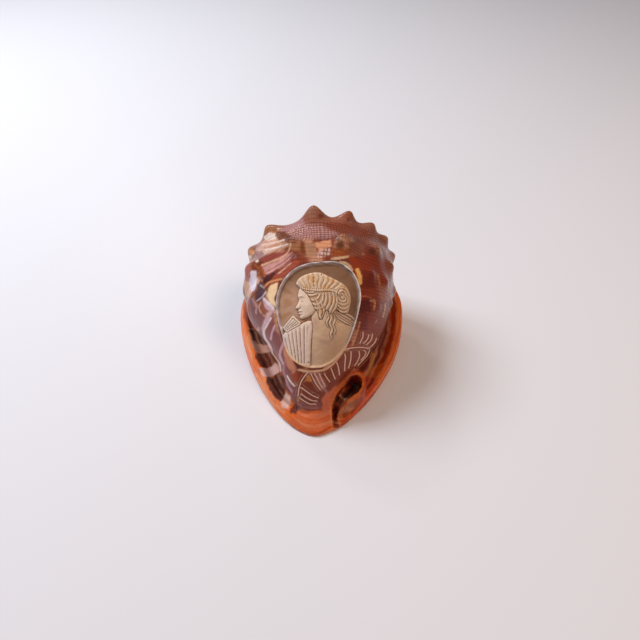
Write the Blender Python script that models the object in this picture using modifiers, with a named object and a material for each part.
"""Helmet shell, carved with an oval cameo, lying on its mouth.

The shell grew as one piece, so it is one solid. +X is the shell's right as it faces the viewer, +Y runs
back to the spire and +Z is up. The origin is under the middle of the shell, on the surface it lies on.
The forms are blocked out in millimetres, fused, smoothed and thinned to a light faceted solid.
"""

import math

import bmesh
import bpy
import numpy as np
from mathutils import Vector

MM = 0.001
VOXEL = 1.25 * MM
SMOOTHING_PASSES = 3
TARGET_TRIANGLES = 9400
SOFTENING = 0.5
MERGE_DISTANCE = 0.02

# How finely the blocks are divided before they are fused: round and along each.
WHORL_CELLS = (160, 130)
MARGIN_CELLS = (147, 40)
CANAL_WALL_CELLS = (70, 10)
CANAL_OUTLINE_POINTS = 60
SLOT_CELLS = (40, 9)
TOOTH_CELLS = (10, 6)

# The whorl, from the apex at the back to the front end. Each row is one cross-section: its place
# along the shell, its top, its reach to the left and to the right, its middle height and its base.
WHORL = (
    (74, 50, 0, 0, 50, 50),
    (72, 57, 9, 8, 49.5, 43),
    (67.5, 66, 22, 22, 48, 34),
    (60, 76, 37, 39, 46, 24),
    (50, 84, 49.5, 50, 44, 14),
    (36, 87.5, 54.5, 54, 42, 9),
    (20, 87.5, 54, 52.5, 41, 7),
    (4, 84.5, 51, 49.5, 39, 7),
    (-12, 77.5, 41.5, 43.5, 36, 7),
    (-26, 68, 32.5, 33.5, 32, 7),
    (-38, 56, 26.5, 23, 27, 7),
    (-48, 42, 22, 15, 21, 7),
    (-56, 27, 17.5, 9, 14, 7),
    (-61, 14, 12, 6, 9, 7),
    (-63, 7, 0, 0, 7, 7),
)
BELLY_FULLNESS = 2.8
RIGHT_SHOULDER_FULLNESS = 2.3
SHOULDER_ROW = 4.0

# Knobs: angle from the top towards the right in degrees, place along the shell, height, spread.
KNOBS = (
    (-102, 50, 5.0, 6.5),
    (-73, 50, 6.0, 6.5),
    (-43, 51, 7.0, 7.0),
    (-4.5, 52, 11.0, 8.0),
    (18, 52, 9.0, 6.5),
    (40, 51, 6.5, 6.0),
    (60, 50, 5.5, 5.5),
    (80, 47, 5.5, 5.5),
    (102, 46, 4.5, 5.0),
    (-60, 19, 4.5, 6.5),
    (-21, 19, 5.5, 7.0),
    (14.5, 23, 5.5, 7.0),
    (41, 24, 4.5, 6.0),
    (66, 24, 3.5, 5.0),
    (90, 22, 3.5, 5.0),
    (-66, 0, 2.4, 5.0),
    (40, 3, 2.0, 4.0),
    (60, 7, 2.4, 4.0),
    (84, 5, 2.0, 4.0),
    (60, -12, 1.4, 3.5),
)
# Raised bands that wind round the whorl: place, height, spread, and the angles between which they show.
BANDS = (
    (50, 1.2, 5.5, -240, 240),
    (36, -1.0, 5.0, -110, -8),
    (20, 2.2, 4.6, -100, 22),
    (10, -0.8, 3.5, -100, -30),
    (3, 1.0, 3.6, -100, -34),
)
BAND_FADE = 12.0
KNOB_LEAN_BACK = 0.35

# The spire: how much smaller each whorl is than the next, its groove and its own small knobs.
SPIRE_RATIO = 0.56
SUTURE_DEPTH = 2.4
SUTURE_WIDTH = 0.11
SPIRE_KNOBS = 9
SPIRE_KNOB_HEIGHT = 2.0
SPIRE_KNOB_PLACE = 0.42
SPIRE_KNOB_SPREAD = 0.16
SPIRE_EDGE = 0.92
SPIRE_FADE = 0.2
GROOVE_START = 1.12

# The lip and the shield round the mouth, clockwise seen from above, from the canal's left side.
# Each row: x, y and height of the outer edge, how far in the foot touches down, the crest's inset
# and height, and the trough's inset and height where the lip meets the whorl.
MARGIN = (
    (8.5, -69.5, 2.0, 1.5, 7, 8.5, 13, 16),
    (-4, -73.5, 2.0, 1.5, 7, 8.0, 14, 14),
    (-18, -67, 2.0, 1.5, 6, 9.0, 12, 8.5),
    (-31, -53, 2.0, 1.5, 4.5, 10, 10, 6.5),
    (-44, -32, 2.5, 2.0, 4.5, 11.5, 11, 6.5),
    (-54, -9, 4.0, 3.0, 4.5, 14, 12, 9),
    (-60, 12, 8.0, 6, 4.5, 17, 11, 13),
    (-61, 30, 14, 10, 4, 21.5, 9, 21),
    (-55, 45, 20, 14, 4, 26, 9, 29),
    (-40, 53, 23, 15, 4, 28, 9, 34),
    (-17, 58, 24, 16, 4, 30, 9, 38),
    (12, 59, 24, 16, 4, 30, 9, 38),
    (36, 55, 25, 15, 3, 30, 8, 36),
    (53, 46, 26, 15, 3, 32, 9, 34),
    (61.5, 30, 21, 12, 2.5, 26, 10, 21),
    (61, 9, 14, 9, 2.2, 18.5, 11, 14),
    (55.5, -12, 9, 7, 2.2, 14.5, 11, 10.5),
    (46, -31, 6, 5, 2.2, 12, 10, 8),
    (34, -48, 4, 3, 2, 9.5, 8, 6.5),
    (22.5, -60, 3, 2, 2, 7, 7, 5),
    (15, -66, 1.5, 1, 2, 4, 6, 4),
)
LIP_AIM_FORWARD = 0.75
MOUTH_HOLLOW = 5.0
HOLLOW_RING = 13.0
HOLLOW_RING_RISE = 0.45
RESTING_RING = 9.0
RING_SINK = 0.8
UNDER_WHORL = 9.0
UNDER_WHORL_RISE = 2.0
DISH_TOP = 16.0

# The siphonal canal's wall, once round its mouth: a point of its crest and the foot below it.
CANAL_WALL = (
    ((7.2, -67.5, 1.6), (2, -60, 2)),
    ((6.2, -61.5, 7.5), (-1, -55, 3)),
    ((6.2, -57.5, 13), (-1, -51, 6)),
    ((8.2, -54.4, 17.5), (1, -47, 9)),
    ((11.6, -50.6, 21.3), (3, -43, 11)),
    ((16.2, -46.0, 24.3), (8, -38, 12)),
    ((20.6, -41.8, 26.3), (15, -33, 12)),
    ((25.2, -40.4, 26.2), (23, -34, 9)),
    ((28.8, -43.0, 25.4), (29, -38, 5)),
    ((29.2, -47.4, 24.0), (31, -45, 4)),
    ((26.4, -52.4, 21.3), (28, -52, 4)),
    ((19.4, -56.2, 17.4), (21, -56, 4)),
    ((13.8, -59.6, 10.8), (15.5, -59, 3)),
    ((12.8, -62.8, 5.0), (15, -62, 2)),
    ((14.6, -66.2, 1.2), (17, -64.5, 1)),
)
CANAL_WALL_THICKNESS = 2.9

# The canal's hollow seen from above: the slit at the front widens into the round end of the canal.
CANAL_HOLLOW = (
    (9.4, -76),
    (8.6, -66),
    (7.9, -58.5),
    (9.6, -54.8),
    (13.2, -50.6),
    (17.8, -46.0),
    (21.4, -42.8),
    (24.8, -42.0),
    (27.3, -44.0),
    (27.5, -47.4),
    (25.0, -51.2),
    (18.4, -54.6),
    (12.2, -58.6),
    (11.2, -62.6),
    (12.6, -66),
    (14.4, -76),
)
CANAL_FLOOR = 7.0
CANAL_SLIT_BACK = -54.0
CANAL_SLIT_FLOOR = 2.6
CUTTER_TOP = 60.0

# The mouth's slot, front to back: place along the shell, middle, half width, height and lean inside.
MOUTH = (
    (-56, 10.2, 1.2, 1, 0),
    (-53.5, 10.1, 2.2, 3.5, 0),
    (-50, 10.0, 3.0, 4.5, -1),
    (-38, 8.5, 4.0, 26, -7),
    (-22, 6.0, 4.8, 31, -11),
    (-4, 2.5, 5.2, 35, -15),
    (14, -2.5, 5.2, 36, -17),
    (30, -8.0, 4.4, 31, -16),
    (42, -12.5, 3.4, 22, -11),
    (51, -16.5, 1.8, 9, -4),
)
MOUTH_START = -4.0
SLOT_BULGE = 0.5
SLOT_ROOF = 8
SLOT_LEAN_CURVE = 1.6

# Ribs across the mouth's edges, on its left and on its right side: how many, which side, how far each
# reaches out of the slot, and the rows of the slot between which they stand.
MOUTH_RIBS = (
    (21, -1, 4.6, 2.6, 8.2),
    (17, 1, 3.6, 1.6, 6.4),
)
TOOTH_ROOT = 0.62
TOOTH_HALF_WIDTH = 1.2
TOOTH_DEPTH = 2.2
TOOTH_LEVEL = 3.0

# The cameo: a window where the brown outer layer is cut away, seen square on. Its radii are given
# every thirty degrees clockwise from the top, and the bust's rough masses as ovals: middle and reach.
CAMEO_CENTRE = (-1.0, -24.0, 68.0)
CAMEO_LEAN = math.radians(47)
CAMEO_RADII = (33.0, 35.6, 31.4, 26.0, 25.6, 30.4, 35.8, 35.0, 27.8, 27.7, 30.2, 32.5)
CAMEO_DEPTH = 2.2
CAMEO_EDGE = 1.6
CAMEO_FRONT_OF = 20.0
BUST_OVALS = (
    (4.5, 14.0, 15.0, 11.5),
    (-2.0, 8.5, 9.5, 12.5),
    (15.0, 7.5, 6.0, 7.0),
    (5.0, -6.0, 7.0, 13.0),
    (2.0, -30.0, 25.0, 23.0),
)
BUST_HEIGHT = 2.0
BUST_ROUNDING = 0.3

SHELL_COLOUR = (0.42, 0.16, 0.08, 1.0)
SHELL_ROUGHNESS = 0.3


def flow(values, at):
    """A smooth curve through rows of values, read at fractional row numbers."""
    rows = np.asarray(values, float)
    slopes = np.gradient(rows, axis=0)
    start = np.clip(np.floor(at).astype(int), 0, len(rows) - 2)
    t = (at - start)[:, None]
    a, b, da, db = rows[start], rows[start + 1], slopes[start], slopes[start + 1]
    return (
        (2 * t**3 - 3 * t**2 + 1) * a
        + (t**3 - 2 * t**2 + t) * da
        + (3 * t**2 - 2 * t**3) * b
        + (t**3 - t**2) * db
    )


def flow_round(values, at):
    """The same for rows that close on themselves; one turn is as long as the list."""
    rows = np.asarray(values, float)
    pad = 3
    wrapped = np.concatenate([rows[-pad:], rows, rows[:pad]])
    return flow(wrapped, np.mod(at, len(rows)) + pad)


def unit(vector):
    vector = np.asarray(vector, float)
    return vector / np.linalg.norm(vector)


def bell(distance, spread):
    return np.exp(-((distance / spread) ** 2))


def vertex_array(bm):
    return np.array([v.co for v in bm.verts], float).reshape(-1, 3)


def make_object(name, bm, collection):
    mesh = bpy.data.meshes.new(name)
    bm.to_mesh(mesh)
    bm.free()
    obj = bpy.data.objects.new(name, mesh)
    collection.objects.link(obj)
    return obj


def place_points(name, bm, points, collection):
    """Moves a bmesh's vertices to these points, in millimetres, and makes an object of it."""
    for vert, point in zip(bm.verts, points):
        vert.co = Vector(point) * MM
    bmesh.ops.remove_doubles(bm, verts=bm.verts[:], dist=MERGE_DISTANCE * MM)
    bmesh.ops.recalc_face_normals(bm, faces=bm.faces[:])
    return make_object(name, bm, collection)


def whorl_section(row_number):
    """One cross-section's values at a fractional row, with the pole rows kept closed."""
    values = flow(WHORL, row_number)
    last = len(WHORL) - 1
    for column in (2, 3):
        near_pole = np.minimum(row_number, last - row_number)
        rounded = np.sqrt(np.clip(near_pole, 0, 1))
        ring = np.where(row_number < 1, WHORL[1][column], WHORL[-2][column])
        values[:, column] = np.where(near_pole < 1, ring * rounded, values[:, column])
    return values


def whorl_points(angle, row_number):
    """Points of the whorl without knobs: angle from the top towards the right, row along the shell."""
    y, top, left, right, middle, base = whorl_section(row_number).T
    side, rise = np.sin(angle), np.cos(angle)
    below = rise < 0
    above = np.where(side > 0, 2 / RIGHT_SHOULDER_FULLNESS, 1.0)
    power = np.where(below, 2 / BELLY_FULLNESS, above)
    across = np.sign(side) * np.abs(side) ** power
    upright = np.sign(rise) * np.abs(rise) ** power
    x = across * np.where(side < 0, left, right)
    z = middle + upright * np.where(below, middle - base, top - middle)
    return np.stack([x, y, z], axis=-1)


def raise_bands(points, angle):
    """Swells the bands that run round the whorl, each fading at its two ends."""
    degrees = np.degrees(angle)
    outward = np.stack([np.sin(angle), np.zeros(len(angle)), np.cos(angle)], axis=-1)
    lift = np.zeros(len(points))
    for place, height, spread, first, last in BANDS:
        rising = np.clip((degrees - first) / BAND_FADE, 0, 1)
        falling = np.clip((last - degrees) / BAND_FADE, 0, 1)
        lift += height * bell(points[:, 1] - place, spread) * rising * falling
    return points + outward * lift[:, None]


def row_at(place):
    """The fractional row whose cross-section lies at this place along the shell."""
    places = [row[0] for row in WHORL]
    return float(np.interp(-place, [-p for p in places], range(len(places))))


def raise_knobs(points):
    """Swells each knob out of the whorl, leaning a little back towards the spire."""
    moved = points.copy()
    for degrees, place, height, spread in KNOBS:
        row = np.array([row_at(place)])
        angle = np.array([math.radians(degrees)])
        foot = whorl_points(angle, row)[0]
        middle = whorl_section(row)[0, 4]
        outward = unit(foot - np.array([0, place, middle])) + (0, KNOB_LEAN_BACK, 0)
        near = np.linalg.norm(points - foot, axis=1)
        moved += unit(outward) * (height * bell(near, spread))[:, None]
    return moved


def wind_spire(points, angle, row_number):
    """Cuts the spiral groove between the whorls of the spire and raises their small knobs."""
    share = np.clip(row_number / SHOULDER_ROW, 1e-3, None)
    turns = np.log(share * GROOVE_START) / math.log(SPIRE_RATIO) + angle / math.tau
    from_groove = (turns + 0.5) % 1.0 - 0.5
    on_spire = np.clip((SPIRE_EDGE - share) / SPIRE_FADE, 0, 1)
    groove = bell(from_groove, SUTURE_WIDTH) * on_spire
    mid_whorl = bell(from_groove % 1.0 - SPIRE_KNOB_PLACE, SPIRE_KNOB_SPREAD) * on_spire
    beads = 0.5 + 0.5 * np.cos(angle * SPIRE_KNOBS)
    lift = mid_whorl * beads * SPIRE_KNOB_HEIGHT - groove * SUTURE_DEPTH
    return points + np.outer(lift, (0, 1, 0))


def cameo_view(points):
    """Places across and up the cameo's face, seen square on, and the direction out of it."""
    local = points - np.array(CAMEO_CENTRE)
    upward = np.array([0, math.sin(CAMEO_LEAN), math.cos(CAMEO_LEAN)])
    out = np.array([0, -math.cos(CAMEO_LEAN), math.sin(CAMEO_LEAN)])
    return local[:, 0], local @ upward, out


def carve_cameo(points):
    """Sinks the window into the whorl and leaves the bust's rough mass standing in it."""
    across, up, out = cameo_view(points)
    turn = np.arctan2(across, up) / math.tau * len(CAMEO_RADII)
    radius = flow_round(np.array(CAMEO_RADII)[:, None], turn)[:, 0]
    inside = (radius - np.hypot(across, up)) * (points[:, 1] < CAMEO_FRONT_OF)
    window = np.clip(inside / CAMEO_EDGE, 0, 1)
    solid = np.zeros(len(points))
    for middle, rise, wide, high in BUST_OVALS:
        reach = 1 - np.hypot((across - middle) / wide, (up - rise) / high)
        solid = np.maximum(solid, np.sqrt(np.clip(reach / BUST_ROUNDING, 0, 1)))
    lift = window * (solid * BUST_HEIGHT - CAMEO_DEPTH)
    return points + np.outer(lift, out)


def make_whorl(collection):
    bm = bmesh.new()
    bmesh.ops.create_uvsphere(bm, u_segments=WHORL_CELLS[0], v_segments=WHORL_CELLS[1], radius=1)
    ball = vertex_array(bm)
    angle = np.arctan2(ball[:, 0], ball[:, 1])
    row = np.arccos(np.clip(ball[:, 2], -1, 1)) / math.pi * (len(WHORL) - 1)
    points = whorl_points(angle, row)
    points = wind_spire(points, angle, row)
    points = raise_bands(points, angle)
    return place_points("whorl", bm, raise_knobs(points), collection)


def margin_rails(station):
    """The nine lines that the lip's surface passes through, from its underside to inside the whorl."""
    x, y, edge, foot, crest_in, crest, trough_in, trough = flow_round(MARGIN, station).T
    inward = np.stack([-x, -y * LIP_AIM_FORWARD], axis=-1)
    inward /= np.linalg.norm(inward, axis=1)[:, None]

    def rail(inset, height):
        flat = np.stack([x, y], axis=-1) + inward * np.asarray(inset)[:, None]
        return np.column_stack([flat, height])

    flat_line = np.full(len(x), -RING_SINK)
    middle = np.zeros(len(x))
    return [
        np.column_stack([middle, middle, middle + MOUTH_HOLLOW]),
        rail(foot + RESTING_RING + HOLLOW_RING, middle + MOUTH_HOLLOW * HOLLOW_RING_RISE),
        rail(foot + RESTING_RING, flat_line),
        rail(foot, flat_line),
        rail(middle, edge),
        rail(crest_in, crest),
        rail(trough_in, trough),
        rail(trough_in + UNDER_WHORL, trough + UNDER_WHORL_RISE),
        np.column_stack([middle, middle, middle + DISH_TOP]),
    ]


def make_margin(collection):
    """The thick lip and shield: a flat dish whose rim turns up round the whorl."""
    bm = bmesh.new()
    bmesh.ops.create_uvsphere(bm, u_segments=MARGIN_CELLS[0], v_segments=MARGIN_CELLS[1], radius=1)
    ball = vertex_array(bm)
    turn = np.arctan2(ball[:, 0], ball[:, 1]) / math.tau
    rails = margin_rails(turn * len(MARGIN))
    across = np.arccos(np.clip(-ball[:, 2], -1, 1)) / math.pi * (len(rails) - 1)
    stack = np.stack(rails, axis=0)
    points = np.array(
        [flow(stack[:, i], across[i : i + 1])[0] for i in range(len(across))]
    )
    return place_points("margin", bm, points, collection)


def make_canal_wall(collection):
    """The canal's wall: a sheet from its crest down into the shell, given its thickness."""
    bm = bmesh.new()
    bmesh.ops.create_grid(
        bm, x_segments=CANAL_WALL_CELLS[0], y_segments=CANAL_WALL_CELLS[1], size=1
    )
    plane = vertex_array(bm)
    along = (plane[:, 0] + 1) / 2 * (len(CANAL_WALL) - 1)
    down = (plane[:, 1] + 1) / 2
    crest = flow([pair[0] for pair in CANAL_WALL], along)
    foot = flow([pair[1] for pair in CANAL_WALL], along)
    points = crest + (foot - crest) * down[:, None]
    obj = place_points("canal_wall", bm, points, collection)
    thick = obj.modifiers.new("wall", "SOLIDIFY")
    thick.thickness = CANAL_WALL_THICKNESS * MM
    thick.offset = 0
    return obj


def make_prism(name, outline, bottom, top, collection):
    """A flat outline raised into a block."""
    bm = bmesh.new()
    verts = [bm.verts.new((x * MM, y * MM, bottom * MM)) for x, y in outline]
    face = bm.faces.new(verts)
    raised = bmesh.ops.extrude_face_region(bm, geom=[face])["geom"]
    moved = [item for item in raised if isinstance(item, bmesh.types.BMVert)]
    bmesh.ops.translate(bm, verts=moved, vec=(0, 0, (top - bottom) * MM))
    bmesh.ops.triangulate(bm, faces=bm.faces[:])
    bmesh.ops.recalc_face_normals(bm, faces=bm.faces[:])
    return make_object(name, bm, collection)


def make_canal_cutters(collection):
    """The canal's hollow from above, and the deeper slit at its front."""
    outline = flow(CANAL_HOLLOW, np.linspace(0, len(CANAL_HOLLOW) - 1, CANAL_OUTLINE_POINTS))
    hollow = make_prism("canal_hollow", outline, CANAL_FLOOR, CUTTER_TOP, collection)
    front = [p for p in outline if p[1] <= CANAL_SLIT_BACK]
    slit = make_prism("canal_slit", front, CANAL_SLIT_FLOOR, CUTTER_TOP, collection)
    return [hollow, slit]


def make_mouth_cutter(collection):
    """The mouth's slot: a leaning slab with round ends, lofted along the shell."""
    bm = bmesh.new()
    steps = np.linspace(0, len(MOUTH) - 1, SLOT_CELLS[0])
    rings = []
    for y, middle, half, height, lean in flow(MOUTH, steps):
        ring = []
        for level in np.linspace(0, 1, SLOT_CELLS[1]):
            z = MOUTH_START + (height - MOUTH_START) * level
            bulge = 1 + SLOT_BULGE * math.sin(math.pi * level)
            wide = half * bulge * math.sqrt(1.0001 - level**SLOT_ROOF)
            x = middle + lean * level**SLOT_LEAN_CURVE
            ring.append((x - wide, y, z, x + wide))
        left = [(a, y, z) for a, y, z, b in ring]
        right = [(b, y, z) for a, y, z, b in reversed(ring)]
        verts = [bm.verts.new(Vector(p) * MM) for p in left + right]
        edges = [
            bm.edges.new((verts[i], verts[(i + 1) % len(verts)]))
            for i in range(len(verts))
        ]
        rings.append(edges)
    for first, second in zip(rings, rings[1:]):
        bmesh.ops.bridge_loops(bm, edges=first + second)
    bmesh.ops.contextual_create(bm, geom=rings[0])
    bmesh.ops.contextual_create(bm, geom=rings[-1])
    bmesh.ops.triangulate(bm, faces=bm.faces[:])
    bmesh.ops.recalc_face_normals(bm, faces=bm.faces[:])
    return make_object("mouth_slot", bm, collection)


def make_teeth(collection):
    """Teeth along the outer lip and folds along the columella: small ribs across the mouth's edges."""
    bm = bmesh.new()
    for count, side, reach, first, last in MOUTH_RIBS:
        for step in np.linspace(first, last, count):
            y, middle, half = flow(MOUTH, np.array([step]))[0][:3]
            centre = Vector((middle + side * (half + reach * TOOTH_ROOT), y, TOOTH_LEVEL))
            ball = bmesh.ops.create_uvsphere(
                bm, u_segments=TOOTH_CELLS[0], v_segments=TOOTH_CELLS[1], radius=1
            )
            scale = Vector((reach, TOOTH_HALF_WIDTH, TOOTH_DEPTH))
            for vert in ball["verts"]:
                vert.co = (centre + vert.co * scale) * MM
    return make_object("teeth", bm, collection)


def evaluated_mesh(obj):
    graph = bpy.context.evaluated_depsgraph_get()
    return bpy.data.meshes.new_from_object(obj.evaluated_get(graph))


def joined(name, objects, collection):
    """One object that holds the evaluated meshes of several, overlapping as they lie."""
    bm = bmesh.new()
    for obj in objects:
        bm.from_mesh(evaluated_mesh(obj))
    return make_object(name, bm, collection)


def subtract(obj, cutter):
    cut = obj.modifiers.new(cutter.name, "BOOLEAN")
    cut.operation = "DIFFERENCE"
    cut.solver = "EXACT"
    cut.object = cutter


def fuse(obj):
    """Grows one skin round the overlapping blocks and softens the seams between them."""
    skin = obj.modifiers.new("fuse", "REMESH")
    skin.mode = "VOXEL"
    skin.voxel_size = VOXEL
    soft = obj.modifiers.new("soften", "SMOOTH")
    soft.factor = SOFTENING
    soft.iterations = SMOOTHING_PASSES


def shell_material():
    material = bpy.data.materials.new("shell")
    material.use_nodes = True
    shader = material.node_tree.nodes["Principled BSDF"]
    shader.inputs["Base Color"].default_value = SHELL_COLOUR
    shader.inputs["Roughness"].default_value = SHELL_ROUGHNESS
    shader.inputs["Metallic"].default_value = 0.0
    return material


def settle(mesh):
    """Centres the shell over the origin and levels the spots on which it rests."""
    low = [min(v.co[axis] for v in mesh.vertices) for axis in range(3)]
    high = [max(v.co[axis] for v in mesh.vertices) for axis in range(3)]
    for vert in mesh.vertices:
        vert.co.x -= (low[0] + high[0]) / 2
        vert.co.y -= (low[1] + high[1]) / 2
        vert.co.z = max(vert.co.z, 0.0)


def build_shell():
    shown = bpy.data.collections.new("helmet_shell")
    hidden = bpy.data.collections.new("blocks_and_cutters")
    bpy.context.scene.collection.children.link(shown)
    bpy.context.scene.collection.children.link(hidden)

    blocks = [make_whorl(hidden), make_margin(hidden), make_canal_wall(hidden)]
    cutters = [*make_canal_cutters(hidden), make_mouth_cutter(hidden)]
    teeth = make_teeth(hidden)
    for block in blocks:
        for cutter in cutters:
            subtract(block, cutter)
    whole = joined("whole", [*blocks, teeth], hidden)
    fuse(whole)
    fine = evaluated_mesh(whole)
    carved = carve_cameo(np.array([v.co for v in fine.vertices]) / MM)
    for vert, point in zip(fine.vertices, carved):
        vert.co = Vector(point) * MM
    triangles = sum(len(face.vertices) - 2 for face in fine.polygons)

    light = bpy.data.objects.new("fine_form", fine)
    hidden.objects.link(light)
    thin = light.modifiers.new("thin", "DECIMATE")
    thin.ratio = TARGET_TRIANGLES / triangles
    mesh = evaluated_mesh(light)
    settle(mesh)
    shell = bpy.data.objects.new("helmet_shell", mesh)
    shown.objects.link(shell)
    mesh.materials.clear()
    mesh.materials.append(shell_material())
    mesh.shade_smooth()

    for obj in hidden.objects:
        obj.hide_render = True
        obj.display_type = "WIRE"


for existing in list(bpy.data.objects):
    bpy.data.objects.remove(existing)
build_shell()
